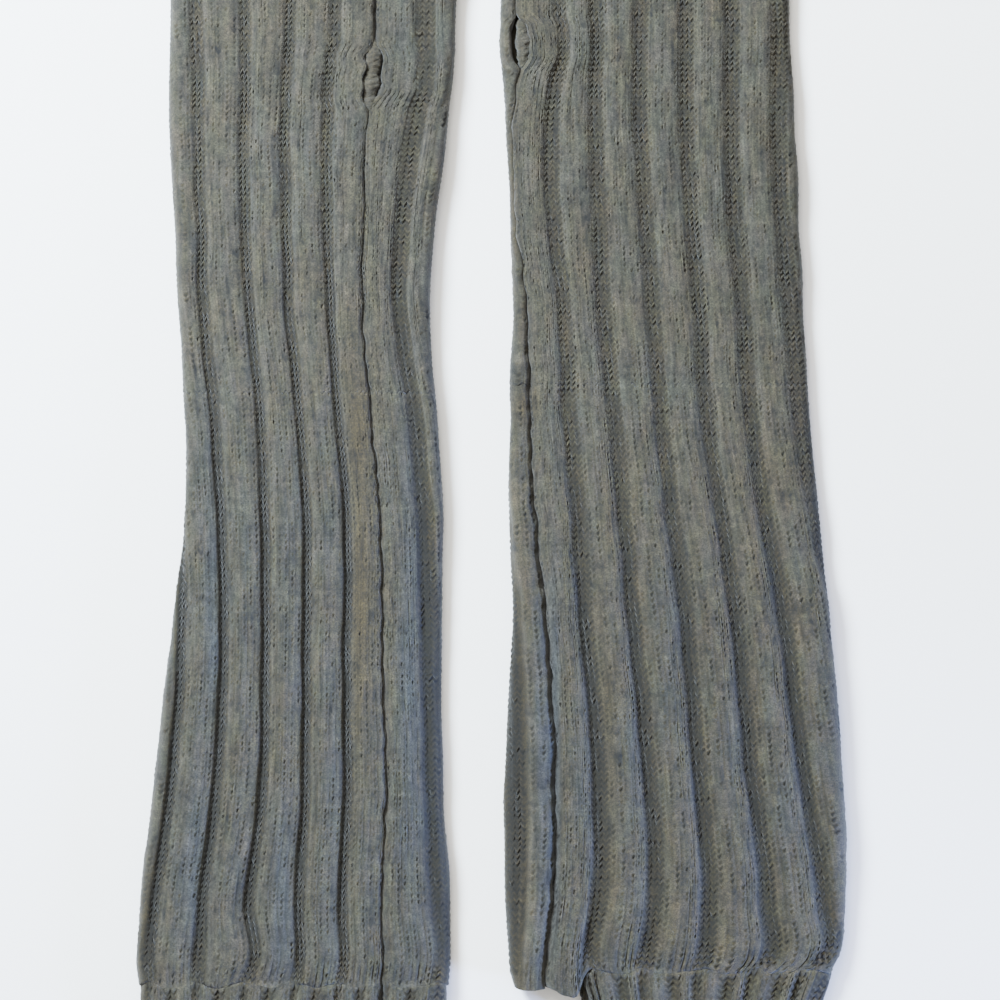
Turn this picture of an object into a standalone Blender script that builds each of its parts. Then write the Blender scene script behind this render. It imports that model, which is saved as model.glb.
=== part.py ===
"""A pair of knitted hand warmers lying flat, side by side.

Each warmer is a flat-knitted rib panel, closed into a tube by one seam along its length.
The seam is left open for the thumb, and a hem in a narrower rib is knitted at the forearm end.

Frame: the surface they lie on is z = 0, +Z is up, +Y points to the finger ends and +X to
the right. The origin is under the middle of the pair. Lengths in this file are in
millimetres until the meshes are made.

A place round the tube is counted in rib repeats. It starts at SEAM_AT, on the right-hand
edge of the seam, grows to the right over the top layer, goes round the right fold, back
under the warmer and round the left fold, and ends at the seam's left-hand edge.
"""
import math
from collections import namedtuple

import bpy
import numpy as np

TO_METRES = 0.001

# The knitted wall
WALL = 1.5                   # thickness between the bottom of a groove and the inside
HOLLOW = 1.2                 # space between the two layers that lie on each other
SEAM_GAP = 0.3               # left between two edges that are sewn together
HEM_GAP = 0.4                # left between the body and the hem, whose line is slanted
UNDER_RIB = 0.9              # height of the ribs that the warmer lies on
FOLD_RADIUS = WALL + HOLLOW / 2
CENTRE_HEIGHT = UNDER_RIB + FOLD_RADIUS
UNDER_FLATTENING = 1.25      # how much wider the ribs are pressed where they rest
CASTOFF_DEPTH = 1.2          # length over which an end edge is rounded
CASTOFF_RIB = 0.55           # share of the rib height left at an end edge

# The rib repeat, 5 plain stitches wide and 3 purl stitches deep, as seen across one repeat
REPEATS = 13
RIB_SHAPE = ((0.00, 0.00), (0.18, 0.12), (0.36, 0.80), (0.62, 1.00), (0.84, 0.82), (0.94, 0.30))
# The first repeat has no groove: its rib rises straight out of the seam
SEAM_SHAPE = ((0.00, 0.10), (0.08, 0.80), (0.36, 1.00), (0.62, 1.00), (0.84, 0.82), (0.94, 0.30))
SEAM_EDGE_RIB = 0.10         # share of the rib height at the seam's left-hand edge
SEAM_CREASE = 0.05           # width of the crease at that edge, in repeats
HEM_RIBS_PER_REPEAT = 2
HEM_SHAPE = ((0.0, 0.0), (0.3, 0.85), (0.55, 1.0), (0.8, 0.7))
HEM_RIB = 1.0                # height of the narrow ribs
HEM_STATIONS = (0.0, 0.5, 1.0)

# The thumb opening, where the seam isn't sewn
EYE_HALF_WIDTH = 2.8
EYE_LIP = 0.7                # how far its edges roll up
EYE_REACH = 14.0             # how far the knit beside it is pushed aside
EYE_STATIONS = (-1.5, -1.0, -0.66, -0.33, 0.0, 0.33, 0.66, 1.0, 1.5)

STATION_STEP = 25.0          # longest stretch between two rings of the wall
MIN_STATION_GAP = 3.0

SEAM_AT = 13.0               # rib count at the seam's right-hand edge

# One row for each section across a warmer. along is its place on Y. left and right are the
# outer edges. a to f are the six grooves on the top layer, the seam among them. rib is the
# height of the ribs, crown is how far the top layer lifts, and corner is how far
# the left corner of the section lags towards the forearm end.
Section = namedtuple("Section", "along left a b c d e f right rib crown corner")

LEFT_SECTIONS = [Section(*row) for row in (
    (-175.7, -113.0, -95.0, -79.5, -63.0, -49.5, -35.0, -16.5, -13.8, 1.8, 0.5, 0.0),
    (-167.7, -113.3, -95.0, -77.0, -62.0, -48.0, -34.5, -15.5, -13.1, 2.0, 0.6, 0.0),
    (-151.7, -112.5, -93.5, -78.5, -62.5, -48.5, -35.0, -17.5, -13.0, 2.2, 0.9, 0.0),
    (-119.7, -109.0, -89.5, -74.5, -60.5, -47.0, -33.5, -19.5, -15.0, 2.4, 1.3, 0.0),
    (-71.7, -103.5, -86.5, -73.0, -60.0, -47.0, -34.5, -21.0, -16.0, 2.4, 1.4, 0.0),
    (-23.7, -98.0, -87.5, -73.5, -60.0, -47.0, -35.5, -22.5, -15.5, 2.2, 1.2, 0.0),
    (8.3, -98.0, -90.0, -75.0, -62.5, -50.0, -38.5, -25.5, -17.5, 2.0, 0.8, 0.0),
    (40.3, -100.0, -93.5, -78.5, -66.0, -52.5, -41.0, -30.5, -20.0, 2.0, 0.4, 0.0),
    (72.3, -101.5, -94.5, -80.5, -67.0, -54.0, -40.5, -29.5, -17.5, 1.8, 0.6, 0.0),
    (101.1, -103.0, -95.5, -80.5, -67.5, -54.0, -39.5, -25.5, -14.0, 1.6, 0.9, 0.0),
    (115.5, -103.0, -95.5, -80.0, -66.5, -52.5, -37.5, -23.0, -12.5, 1.6, 0.9, 0.0),
    (133.1, -102.5, -96.5, -80.5, -66.0, -51.5, -37.0, -22.5, -11.5, 1.6, 0.6, 0.0),
    (186.2, -102.0, -95.0, -81.0, -66.0, -52.0, -37.5, -23.0, -11.5, 1.4, 0.3, 0.0),
)]
RIGHT_SECTIONS = [Section(*row) for row in (
    (-171.2, 26.0, 27.5, 33.5, 50.0, 68.0, 86.0, 101.5, 109.8, 1.6, 0.4, 7.7),
    (-169.9, 15.7, 18.0, 32.8, 50.0, 68.5, 88.0, 105.0, 110.3, 1.8, 0.5, 7.4),
    (-168.0, 9.6, 17.5, 32.4, 50.5, 69.0, 90.0, 107.5, 111.1, 1.9, 0.6, 6.7),
    (-164.8, 7.4, 18.0, 32.3, 51.0, 69.5, 91.0, 109.5, 112.0, 2.0, 0.7, 5.4),
    (-151.7, 5.0, 19.5, 34.5, 53.0, 70.5, 90.0, 108.0, 113.3, 2.0, 1.0, 0.5),
    (-103.7, 4.7, 20.5, 35.0, 51.0, 67.0, 84.0, 100.5, 112.3, 2.2, 1.4, 0.0),
    (-55.7, 7.0, 17.5, 30.5, 46.0, 63.0, 79.0, 94.0, 108.0, 2.1, 1.4, 0.0),
    (-23.7, 6.0, 14.0, 28.0, 42.5, 58.0, 74.0, 87.5, 105.0, 1.9, 1.2, 0.0),
    (8.3, 6.0, 12.5, 24.5, 39.0, 54.0, 68.5, 82.5, 102.0, 1.7, 0.8, 0.0),
    (40.3, 7.0, 11.5, 22.5, 35.0, 51.0, 66.0, 80.0, 100.0, 1.6, 0.5, 0.0),
    (72.3, 6.0, 8.0, 18.5, 33.5, 48.5, 63.0, 77.0, 98.5, 1.6, 0.5, 0.0),
    (104.3, 4.5, 7.5, 18.5, 32.5, 46.5, 61.5, 76.0, 97.0, 1.6, 0.7, 0.0),
    (125.1, 3.0, 9.5, 21.5, 32.5, 46.5, 61.5, 76.0, 96.0, 1.6, 0.7, 0.0),
    (136.3, 3.0, 8.0, 21.0, 32.5, 47.0, 61.5, 76.0, 95.5, 1.5, 0.5, 0.0),
    (189.1, 4.0, 7.5, 20.0, 32.5, 47.5, 62.0, 76.0, 94.5, 1.4, 0.3, 0.0),
)]
# Where the hems end
LEFT_HEM_END = Section(
    -189.4, -111.0, -95.5, -80.0, -64.0, -49.5, -34.5, -18.5, -15.0, 1.0, 0.3, 0.0)
RIGHT_HEM_END = Section(
    -185.6, 30.5, 32.0, 36.5, 51.5, 67.0, 82.5, 97.0, 104.3, 1.0, 0.3, 0.0)

# Rib counts of the grooves a to f, where the tube ends at the seam, and the thumb opening
Warmer = namedtuple("Warmer", "name grooves seam_end eye_middle eye_half_length body hem_end")
WARMERS = (
    Warmer("left", (9, 10, 11, 12, 13, 14), SEAM_AT + 13.0, 115.2, 9.9, LEFT_SECTIONS,
           LEFT_HEM_END),
    Warmer("right", (13, 14, 15, 16, 17, 18), SEAM_AT + 12.7, 125.4, 8.6, RIGHT_SECTIONS,
           RIGHT_HEM_END),
)
# How much of a section's corner lag a rib count takes: all of it at the left fold
CORNER_SHARE = ((13.0, 1.0), (14.0, 0.0), (24.0, 0.0), (25.0, 1.0), (25.7, 1.0))

KNIT = {"color": (0.22, 0.215, 0.185, 1.0), "roughness": 0.95, "metallic": 0.0}


def smooth_between(places, values, place):
    """The value at one place on a smooth curve through the given values."""
    places, values = np.asarray(places, float), np.asarray(values, float)
    slopes = np.gradient(values, places)
    index = int(np.clip(np.searchsorted(places, place) - 1, 0, len(places) - 2))
    span = places[index + 1] - places[index]
    t = min(max((place - places[index]) / span, 0.0), 1.0)
    start, end = values[index], values[index + 1]
    pull_out = slopes[index] * span
    pull_in = slopes[index + 1] * span
    return (start * (2 * t ** 3 - 3 * t ** 2 + 1) + pull_out * (t ** 3 - 2 * t ** 2 + t)
            + end * (3 * t ** 2 - 2 * t ** 3) + pull_in * (t ** 3 - t ** 2))


def section_at(sections, along):
    """A section anywhere between the given ones."""
    places = [section.along for section in sections]
    values = [smooth_between(places, column, along) for column in zip(*(s[1:] for s in sections))]
    return Section(along, *values)


def arc_of(x, left, right):
    """Distance round the flattened tube of a point seen at x on its top layer."""
    straight_left, straight_right = left + FOLD_RADIUS, right - FOLD_RADIUS
    if x > straight_right:
        lean = min((x - straight_right) / FOLD_RADIUS, 1.0)
        return straight_right + FOLD_RADIUS * math.asin(lean)
    if x < straight_left:
        lean = min((straight_left - x) / FOLD_RADIUS, 1.0)
        return straight_left - FOLD_RADIUS * math.asin(lean)
    return x


def on_stadium(arc, left, right, radius):
    """Place and outward direction at a distance round the flattened tube, at one radius."""
    straight_left, straight_right = left + FOLD_RADIUS, right - FOLD_RADIUS
    straight = straight_right - straight_left
    half_turn = math.pi * FOLD_RADIUS
    arc = (arc - straight_left) % (2 * straight + 2 * half_turn)
    if arc < straight:
        x, angle = straight_left + arc, 0.0
    elif arc < straight + half_turn:
        x, angle = straight_right, (arc - straight) / FOLD_RADIUS
    elif arc < 2 * straight + half_turn:
        x, angle = straight_right - (arc - straight - half_turn), math.pi
    else:
        x, angle = straight_left, math.pi + (arc - 2 * straight - half_turn) / FOLD_RADIUS
    outward = (math.sin(angle), math.cos(angle))
    return x + radius * outward[0], CENTRE_HEIGHT + radius * outward[1], outward


def trimmed(warmer, points):
    """The points up to the seam's left-hand edge, an odd number with the edge itself."""
    points = [point for point in points if point[0] < warmer.seam_end - SEAM_CREASE]
    if len(points) % 2:
        points.pop()
    return points + [(warmer.seam_end, SEAM_EDGE_RIB)]


def rib_counts(warmer):
    """Rib counts of the body's outer points, with the share of the rib height at each."""
    points = []
    for repeat in range(REPEATS):
        shape = RIB_SHAPE if repeat else SEAM_SHAPE
        points += [(SEAM_AT + repeat + phase, height) for phase, height in shape]
    return trimmed(warmer, points)


def hem_counts(warmer):
    """Rib counts of the hem's outer points, with the share of the rib height at each."""
    points = []
    for rib in range(REPEATS * HEM_RIBS_PER_REPEAT):
        points += [(SEAM_AT + (rib + phase) / HEM_RIBS_PER_REPEAT, height)
                   for phase, height in HEM_SHAPE]
    return trimmed(warmer, points)


def eye_opening(warmer, along):
    """How open the thumb opening is at a place along the warmer, from 0 to 1."""
    away = (along - warmer.eye_middle) / warmer.eye_half_length
    return max(0.0, 1.0 - away * away)


def ring(warmer, section, counts, rib_share=1.0):
    """The outer and the inner points of one section, seam edge to seam edge."""
    perimeter = 2 * (section.right - section.left - 2 * FOLD_RADIUS) + 2 * math.pi * FOLD_RADIUS
    known = [(count, arc_of(x, section.left, section.right))
             for count, x in zip(warmer.grooves, section[2:8])]
    turned = [(count + REPEATS, arc + perimeter) for count, arc in known if count < SEAM_AT]
    seam_arc = dict(known)[SEAM_AT]
    known = [place for place in known if place[0] >= SEAM_AT] + turned
    known.append((warmer.seam_end, seam_arc + perimeter))
    opened = eye_opening(warmer, section.along)
    pushed = SEAM_GAP / 2 + EYE_HALF_WIDTH * opened
    outer, inner = [], []
    for index, (count, height) in enumerate(counts):
        arc = np.interp(count, *zip(*known))
        after, before = arc - seam_arc, seam_arc + perimeter - arc
        arc += pushed * (math.exp(-after / EYE_REACH) - math.exp(-before / EYE_REACH))
        x, z, outward = on_stadium(arc, section.left, section.right, FOLD_RADIUS)
        on_top = (1 + outward[1]) / 2
        lip = EYE_LIP * opened if index in (0, len(counts) - 1) else 0.0
        rib = on_top * section.rib + (1 - on_top) * UNDER_RIB * UNDER_FLATTENING
        rise = rib_share * height * rib + lip
        across = (x - section.left) / (section.right - section.left)
        lift = on_top * section.crown * (1 - abs(2 * across - 1) ** 3)
        y = section.along - section.corner * np.interp(count, *zip(*CORNER_SHARE))
        outer.append((x + rise * outward[0], y, max(0.0, z + rise * outward[1] + lift)))
        if index % 2 == 0:
            x, z, outward = on_stadium(arc, section.left, section.right, FOLD_RADIUS - WALL)
            inner.append((x, y, z + lift))
    return outer, inner


def fitted(warmer, wanted, counts):
    """A section drawn in until the outermost points of its ring, ribs and all, are as wanted."""
    section = wanted
    for _ in range(3):
        xs = [point[0] for point in ring(warmer, section, counts)[0]]
        section = section._replace(left=section.left + wanted.left - min(xs),
                                   right=section.right + wanted.right - max(xs))
    return section


def stations(sections, extra=()):
    """Places along a warmer where it gets a ring, from the forearm end to the finger end."""
    places = sorted(set(extra))
    for section in sections:
        near = min((abs(section.along - place) for place in places), default=MIN_STATION_GAP)
        if near >= MIN_STATION_GAP or section is sections[0] or section.corner:
            places.append(section.along)
    places.sort()
    filled = []
    for start, end in zip(places, places[1:]):
        steps = max(1, math.ceil((end - start) / STATION_STEP))
        filled += [start + (end - start) * step / steps for step in range(steps)]
    return filled + places[-1:]


def wall_faces(rings, outer_count, inner_count):
    """Faces of the closed wall through a stack of rings, each outer points then inner points."""
    def outer(station, index):
        return station * (outer_count + inner_count) + index

    def inner(station, index):
        return station * (outer_count + inner_count) + outer_count + index

    faces = []
    last = len(rings) - 1
    for low in range(last):
        high = low + 1
        for i in range(outer_count - 1):
            faces.append((outer(low, i), outer(low, i + 1), outer(high, i + 1), outer(high, i)))
        for i in range(inner_count - 1):
            faces.append((inner(low, i), inner(high, i), inner(high, i + 1), inner(low, i + 1)))
        faces.append((outer(low, 0), outer(high, 0), inner(high, 0), inner(low, 0)))
        end, inside = outer_count - 1, inner_count - 1
        faces.append((outer(low, end), inner(low, inside), inner(high, inside), outer(high, end)))
    for station, way in ((0, 1), (last, -1)):
        for i in range(inner_count - 1):
            near, far = inner(station, i), inner(station, i + 1)
            first, middle, third = (outer(station, 2 * i + step) for step in range(3))
            for face in ((near, middle, first), (near, far, middle), (far, third, middle)):
                faces.append(face[::way])
    return faces


def knit_material(name):
    """Plain heather-grey wool."""
    material = bpy.data.materials.new(name)
    material.use_nodes = True
    shader = material.node_tree.nodes["Principled BSDF"]
    shader.inputs["Base Color"].default_value = KNIT["color"]
    shader.inputs["Roughness"].default_value = KNIT["roughness"]
    shader.inputs["Metallic"].default_value = KNIT["metallic"]
    material.diffuse_color = KNIT["color"]
    return material


def add_wall(name, rings):
    """One named piece of cloth: a closed wall through its rings."""
    outer_count, inner_count = len(rings[0][0]), len(rings[0][1])
    points = np.array([point for outer, inner in rings for point in outer + inner]) * TO_METRES
    mesh = bpy.data.meshes.new(name)
    mesh.from_pydata(points.tolist(), [], wall_faces(rings, outer_count, inner_count))
    mesh.validate()
    mesh.materials.append(knit_material(name))
    mesh.shade_smooth()
    mesh.set_sharp_from_angle(angle=math.radians(50))
    piece = bpy.data.objects.new(name, mesh)
    bpy.context.scene.collection.objects.link(piece)
    return piece


def body(warmer):
    """The wide-ribbed panel, from the hem to the cast-off finger end."""
    counts = rib_counts(warmer)
    eye = [warmer.eye_middle + step * warmer.eye_half_length for step in EYE_STATIONS]
    end = warmer.body[-1].along
    rings = [ring(warmer, fitted(warmer, section_at(warmer.body, along), counts), counts)
             for along in stations(warmer.body[:-1], eye + [end - CASTOFF_DEPTH])]
    rings.append(ring(warmer, fitted(warmer, warmer.body[-1], counts), counts, CASTOFF_RIB))
    return add_wall(warmer.name + "_body", rings)


def hem(warmer):
    """The narrow-ribbed end at the forearm, as wide at its top as the body's own end."""
    counts = hem_counts(warmer)
    top = fitted(warmer, warmer.body[0], rib_counts(warmer))
    top = top._replace(along=top.along - HEM_GAP, rib=HEM_RIB)
    low = fitted(warmer, warmer.hem_end, counts)
    rings = [ring(warmer, low, counts, CASTOFF_RIB)]
    for share in HEM_STATIONS:
        along = low.along + CASTOFF_DEPTH + share * (top.along - low.along - CASTOFF_DEPTH)
        rings.append(ring(warmer, section_at((low, top), along), counts))
    return add_wall(warmer.name + "_hem", rings)


def main():
    for old in list(bpy.data.objects):
        bpy.data.objects.remove(old)
    for warmer in WARMERS:
        body(warmer)
        hem(warmer)


main()
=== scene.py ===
"""Looks of a pair of knit hand warmers: every stitch of their ribs, the heather wool, the studio.

Frame and sizes are the part's own. Lengths are in millimetres until a mesh is made. A place
round a tube is counted in rib repeats, from the right-hand edge of the seam over the top
layer, round the right fold, back underneath and round the left fold to the seam again. A
place along a tube is counted in rows of stitches from the line between body and hem.
"""
import math
from collections import namedtuple

import bpy
import numpy as np
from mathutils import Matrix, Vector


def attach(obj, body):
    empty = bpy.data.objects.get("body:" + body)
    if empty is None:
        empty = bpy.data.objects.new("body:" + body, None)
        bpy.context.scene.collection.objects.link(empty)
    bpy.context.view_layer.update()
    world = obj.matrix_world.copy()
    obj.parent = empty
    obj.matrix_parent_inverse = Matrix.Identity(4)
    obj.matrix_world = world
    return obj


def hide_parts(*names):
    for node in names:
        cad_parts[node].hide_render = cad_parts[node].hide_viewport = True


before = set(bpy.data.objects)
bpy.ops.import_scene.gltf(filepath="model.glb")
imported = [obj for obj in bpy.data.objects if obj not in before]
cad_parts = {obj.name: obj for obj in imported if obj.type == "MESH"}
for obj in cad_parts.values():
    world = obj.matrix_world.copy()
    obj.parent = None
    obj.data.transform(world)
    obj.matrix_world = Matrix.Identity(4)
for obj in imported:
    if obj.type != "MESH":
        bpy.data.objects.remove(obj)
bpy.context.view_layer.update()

TO_METRES = 0.001

# The knitted wall, as in the solids
WALL = 1.5
HOLLOW = 1.2
SEAM_GAP = 0.04              # the sewn edges meet
UNDER_RIB = 0.9
UNDER_FLATTENING = 1.25      # the ribs underneath are pressed against the floor
FOLD_RADIUS = WALL + HOLLOW / 2
CENTRE_HEIGHT = UNDER_RIB + FOLD_RADIUS
SEAM_AT = 13.0
REPEATS = 13
RIB_PITCH = 14.0             # width of one rib repeat, about

# The stitches
WALES = 8                    # columns of stitches in one rib repeat
GROOVE_MIDDLE = 0.0625       # where the purl stitches lie in a repeat, and half their width
GROOVE_HALF = 0.1875
WALE_STEPS = 4               # mesh columns across one stitch
ROW_STEPS = 2                # mesh rows along one stitch
INSIDE_EVERY = 8             # the inside has one mesh point for so many outside
LOW_ROW = 1.95               # length of a stitch in the lower half
HIGH_ROW = 1.76              # and in the upper half
ROW_CHANGE = (-12.0, 12.0)   # where one turns into the other
PLAIN_RELIEF = 0.46          # height of the yarn over the holes between the stitches
PURL_RELIEF = 0.50
JOIN_RELIEF = 0.3            # share of it in a first or last row
PLAIN_SLANT = 0.30           # how far the legs of a plain stitch slant, in rows
PURL_SLANT = 0.34            # how far the bumps of a purl stitch curve, in rows
LEG_HEIGHTS = (0.05, 0.92, 0.70, 0.92)
PLAIN_PIT = 1.7              # how deep the hole in the middle of a stitch is
PURL_PIT = 0.3
HEIGHT_JITTER = 0.08         # how much the stitches differ in height, sideways and along
SIDE_JITTER = 0.035
ROW_JITTER = 0.05

# Unevenness of the cloth: the waves that make up any drift and what evens out their sum, then
# how much of each kind, and its wave lengths along and across
DRIFT_WAVES = 7
DRIFT_SPREAD = 2.6
RIB_SWELL, SWELL_WAVES = 0.08, (40.0, 25.0)
LOOSENESS, LOOSE_WAVES = 0.20, (42.0, 30.0)
WANDER, WANDER_WAVES = 0.12, (30.0, 60.0)

# Where body and hem meet, and the free ends. The first four are in rows of stitches
BODY_RIBS_GROW = (0.0, 4.0)
HEM_RIBS_GROW = (0.0, 2.5)
RIBS_SINK = (-1.5, 1.5)      # at a free end
GATHER_REACH = 2.5
GATHER = 1.6                 # how far the wide ribs pull the line to and fro
GATHER_DRIFT, GATHER_WAVE = 0.35, 0.6
PUFF = 1.7                   # how far the body swells over the hem beside a corner
FULL_LAG = 7.7               # the corner lag that swells it in full

# The seam's crease, and the thumb opening in it
SEAM_VALLEY = ((0.5, 1.1), (0.9, 0.75), (2.2, 1.25))   # half its width for each depth
SEAM_DEPTH = 0.6
PUCKER, PUCKER_WAVE, PUCKER_REACH = 0.30, 7.5, 3.2
SEAM_WAVER, WAVER_WAVE, WAVER_REACH = 0.22, 11.0, 5.0
EDGE_DROP, EDGE_RADIUS = 0.60, 0.6
CLEAR_OF_SEAM = 6.0
EYE_HALF_WIDTH = 2.8
EYE_WAVER, EYE_WAVE = 0.16, 8.0
EYE_LIP, LIP_REACH = 0.48, 2.0
EYE_REACH = 14.0             # how far from the opening the cloth gives way to it

# Mesh making
FITTING_ROUNDS = 4
FINE_STEPS = 2000
SHARP_ANGLE = 80

# How much shade is painted into the cloth's colour: in the holes between stitches, in purl
# stitches, in the seam's crease and at its edges, in the grooves, at the foot and on the left flank
# of tall ribs, and inside
PLAIN_SHADE = 0.75
PURL_SHADE, PURL_SHADE_UNEVEN = 1.6, 0.4
PURL_BASE_SHADE = 0.05
SEAM_SHADE = 0.75
EDGE_SHADE = 0.4
GROOVE_SHADE, TALL_GROOVE_SHADE = 0.55, 0.9
CREVICE_SHADE, CREVICE_HALF = 0.5, 0.09
FLANK_SHADE = 0.2
INSIDE_SHADE = 0.7

# Rib profiles: share of the rib height at each place across one repeat. The low shape is for
# cloth that lies flatter
RIB_RISE = ((0.0, -0.08), (0.05, 0.0), (0.12, 0.10), (0.18, 0.22), (0.25, 0.48), (0.32, 0.75),
            (0.42, 0.94))
RIB_DROP = ((0.56, 0.97), (0.66, 0.86), (0.76, 0.71), (0.84, 0.54), (0.88, 0.38), (0.93, 0.04),
            (0.97, -0.08), (1.0, -0.08))
LOW_RIB_SHAPE = ((0.0, 0.06), (0.10, 0.0), (0.20, 0.10), (0.28, 0.45), (0.36, 0.85), (0.45, 1.0),
                 (0.70, 1.0), (0.78, 0.90), (0.86, 0.60), (0.94, 0.25), (1.0, 0.06))
RIB_SHAPE = (*RIB_RISE, (0.52, 1.0), *RIB_DROP)
SEAM_RIGHT_SHAPE = ((0.0, 0.60), (0.10, 0.76), (0.20, 0.90), (0.40, 1.0), *RIB_DROP)
LEFT_SEAM_SHAPE = (*RIB_RISE, (0.60, 1.0), (0.90, 0.88), (1.0, 0.75))
RIGHT_SEAM_SHAPE = ((0.0, -0.16), (0.05, 0.0), (0.20, 0.08), (0.30, 0.14), (0.35, 0.65),
                    (0.40, 1.15), (0.45, 1.25), (0.58, 1.00), (0.70, 0.60), (1.0, 0.60))
HEM_SHAPE = ((0.0, 0.0), (0.12, 0.15), (0.3, 0.8), (0.5, 1.0), (0.7, 0.8), (0.88, 0.15),
             (1.0, 0.0))
CORNER_ROUNDING = 0.012
HEM_RIBS_PER_REPEAT = 2
HEM_PLAIN = (0.24, 0.76)     # where the plain stitches of a narrow rib lie
TALL_RIB = (1.7, 2.4)        # rib heights between which the low shape turns into the full one
PRESSED_RIB = (1.6, 2.3)     # rib heights over which the grooves are pressed narrower still
PRESSED_BY = 0.1
SHIFT_ENDS = 0.25            # how soon before the seam's end the grooves keep their place
LOW_FROM, LOW_UNTIL = 0.5, 0.28   # where the low shape starts and ends beside the seam
HOLLOW_SHARE = 1.6           # how soon a groove's hollow ends as the rib rises
EVEN_SHARE = 0.4             # rib height at the line between body and hem
LEAN = 0.10                  # how far a rib leans over its groove, for each mm of height

# Each section: place along, left edge, six grooves from left to right, right edge, rib height,
# how far the top layer is arched, and how far a corner lags behind
Section = namedtuple("Section", "along left a b c d e f right rib crown corner")
LEFT_SECTIONS = Section(*np.array((
    (-175.7, -113.0, -95.0, -79.5, -63.0, -49.5, -35.0, -16.5, -13.8, 1.8, 0.5, 0.0),
    (-167.7, -113.3, -95.0, -77.0, -62.0, -48.0, -34.5, -15.5, -13.1, 2.0, 0.6, 0.0),
    (-151.7, -112.5, -93.5, -78.5, -62.5, -48.5, -35.0, -17.5, -13.0, 2.2, 0.9, 0.0),
    (-119.7, -109.0, -89.5, -74.5, -60.5, -47.0, -33.5, -19.5, -15.0, 2.4, 1.3, 0.0),
    (-71.7, -103.5, -86.5, -73.0, -60.0, -47.0, -34.5, -21.0, -16.0, 2.4, 1.4, 0.0),
    (-23.7, -98.0, -87.5, -73.5, -60.0, -47.0, -35.5, -22.5, -15.5, 2.2, 1.2, 0.0),
    (8.3, -98.0, -90.0, -75.0, -62.5, -50.0, -38.5, -25.5, -17.5, 2.0, 0.8, 0.0),
    (40.3, -100.0, -93.5, -78.5, -66.0, -52.5, -41.0, -30.5, -20.0, 2.0, 0.4, 0.0),
    (72.3, -101.5, -94.5, -80.5, -67.0, -54.0, -40.5, -29.5, -17.5, 1.8, 0.6, 0.0),
    (101.1, -103.0, -95.5, -80.5, -67.5, -54.0, -39.5, -25.5, -14.0, 1.6, 0.9, 0.0),
    (115.5, -103.0, -95.5, -80.0, -66.5, -52.5, -37.5, -23.0, -12.5, 1.6, 0.9, 0.0),
    (133.1, -102.5, -96.5, -80.5, -66.0, -51.5, -37.0, -22.5, -11.5, 1.6, 0.6, 0.0),
    (186.2, -102.0, -95.0, -81.0, -66.0, -52.0, -37.5, -23.0, -11.5, 1.4, 0.3, 0.0),
)).T)
RIGHT_SECTIONS = Section(*np.array((
    (-171.2, 8.4, 17.3, 33.5, 50.0, 68.0, 86.0, 101.5, 109.8, 1.6, 0.4, 7.7),
    (-169.9, 7.5, 17.3, 32.8, 50.0, 68.5, 88.0, 105.0, 110.3, 1.8, 0.5, 7.0),
    (-168.0, 6.8, 17.4, 32.4, 50.5, 69.0, 90.0, 107.5, 111.1, 1.9, 0.6, 6.1),
    (-164.8, 6.2, 17.8, 32.3, 51.0, 69.5, 91.0, 109.5, 112.0, 2.0, 0.7, 4.6),
    (-151.7, 5.0, 19.5, 34.5, 53.0, 70.5, 90.0, 108.0, 113.3, 2.0, 1.0, 0.5),
    (-103.7, 4.7, 20.5, 35.0, 51.0, 67.0, 84.0, 100.5, 112.3, 2.2, 1.4, 0.0),
    (-55.7, 7.0, 17.5, 30.5, 46.0, 63.0, 79.0, 94.0, 108.0, 2.1, 1.4, 0.0),
    (-23.7, 6.0, 14.0, 28.0, 42.5, 58.0, 74.0, 87.5, 105.0, 1.9, 1.2, 0.0),
    (8.3, 6.0, 12.5, 24.5, 39.0, 54.0, 68.5, 82.5, 102.0, 1.7, 0.8, 0.0),
    (40.3, 7.0, 11.5, 22.5, 35.0, 51.0, 66.0, 80.0, 100.0, 1.6, 0.5, 0.0),
    (72.3, 6.0, 8.0, 18.5, 33.5, 48.5, 63.0, 77.0, 98.5, 1.6, 0.5, 0.0),
    (104.3, 4.5, 7.5, 18.5, 32.5, 46.5, 61.5, 76.0, 97.0, 1.6, 0.7, 0.0),
    (125.1, 3.0, 9.5, 21.5, 32.5, 46.5, 61.5, 76.0, 96.0, 1.6, 0.7, 0.0),
    (136.3, 3.0, 8.0, 21.0, 32.5, 47.0, 61.5, 76.0, 95.5, 1.5, 0.5, 0.0),
    (189.1, 4.0, 7.5, 20.0, 32.5, 47.5, 62.0, 76.0, 94.5, 1.4, 0.3, 0.0),
)).T)
LEFT_HEM_TOP = (-175.7, -113.0, -95.0, -79.5, -63.0, -49.5, -35.0, -16.5, -13.8, 1.8, 0.5, 0.0)
RIGHT_HEM_TOP = (-171.2, 26.5, 28.0, 33.5, 50.0, 68.0, 86.0, 101.5, 109.8, 1.6, 0.4, 0.0)
LEFT_HEM_END = (-189.4, -111.0, -95.5, -80.0, -64.0, -49.5, -34.5, -18.5, -15.0, 1.0, 0.3, 0.0)
RIGHT_HEM_END = (-185.6, 30.5, 32.0, 36.5, 51.5, 67.0, 82.5, 97.0, 104.3, 1.0, 0.3, 0.0)
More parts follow.
